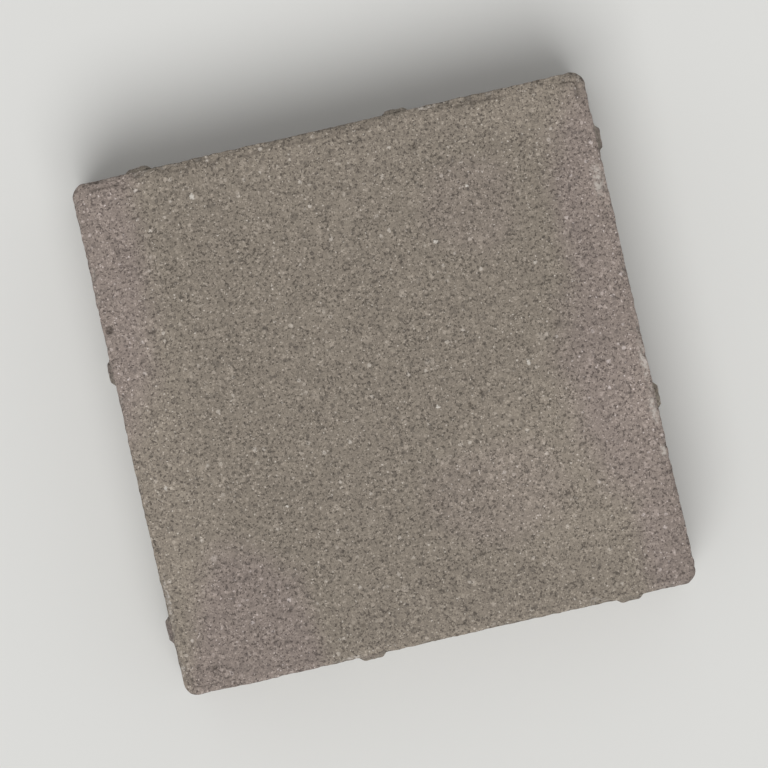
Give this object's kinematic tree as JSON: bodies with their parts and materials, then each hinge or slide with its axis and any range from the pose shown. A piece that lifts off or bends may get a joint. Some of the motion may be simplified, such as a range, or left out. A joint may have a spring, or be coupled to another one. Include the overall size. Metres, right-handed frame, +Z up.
{
  "type": "concrete paving stone",
  "caption": "Square pressed-concrete paving stone with a fine bevel round its wearing face, rounded corners and tapered spacer ribs on its sides that set the joint.",
  "frame": {"origin": "centre of the underside, the face that lies on the bedding sand", "axes": "+Z up through the thickness to the wearing face; X and Y along the two pairs of sides, square to the joints"},
  "size_m": [0.202, 0.202, 0.06],
  "materials": {
    "concrete": "matte"
  },
  "bodies": {
    "root": {"paving_stone": "concrete"}
  },
  "joints": []
}
